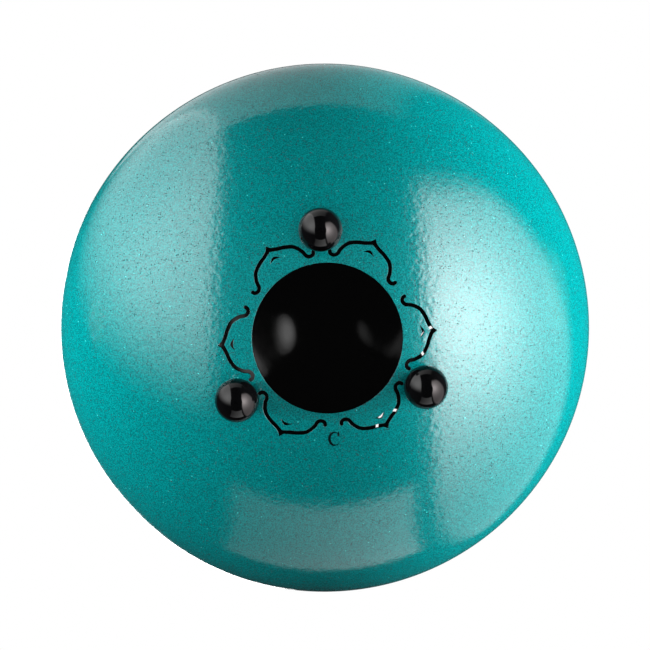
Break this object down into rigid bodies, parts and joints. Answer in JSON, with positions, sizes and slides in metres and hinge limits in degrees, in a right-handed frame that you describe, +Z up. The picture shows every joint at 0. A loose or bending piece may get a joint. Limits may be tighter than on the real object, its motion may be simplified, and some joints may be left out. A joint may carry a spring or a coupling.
{
  "type": "steel tongue drum",
  "caption": "Lens-shaped hollow steel drum of the handpan family: tongues cut in the top shell, a round sound port with a lotus cut-out below, and ball feet.",
  "frame": {"origin": "on the drum's axis, in the plane that the three feet stand on", "axes": "+Z up along the drum's axis, out of the playing side; +Y through the first foot, with the key letter on the underside towards -Y"},
  "size_m": [0.32, 0.32, 0.1876],
  "materials": {
    "shell_coat": "turquoise metallic powder coat with fine dark specks and an orange-peel texture, on pressed steel",
    "foot_black": "polished black phenolic",
    "insert_brass": "turned brass",
    "gasket_rubber": "matt black rubber",
    "fastener_steel": "zinc-plated steel"
  },
  "bodies": {
    "root": {"top_shell": "shell_coat", "bottom_shell": "shell_coat", "rim_weld": "shell_coat", "foot_ball_1": "foot_black", "foot_ball_2": "foot_black", "foot_ball_3": "foot_black", "foot_insert_1": "insert_brass", "foot_insert_2": "insert_brass", "foot_insert_3": "insert_brass", "foot_gasket_1": "gasket_rubber", "foot_gasket_2": "gasket_rubber", "foot_gasket_3": "gasket_rubber", "foot_washer_1": "fastener_steel", "foot_washer_2": "fastener_steel", "foot_washer_3": "fastener_steel", "foot_screw_1": "fastener_steel", "foot_screw_2": "fastener_steel", "foot_screw_3": "fastener_steel"}
  },
  "joints": []
}
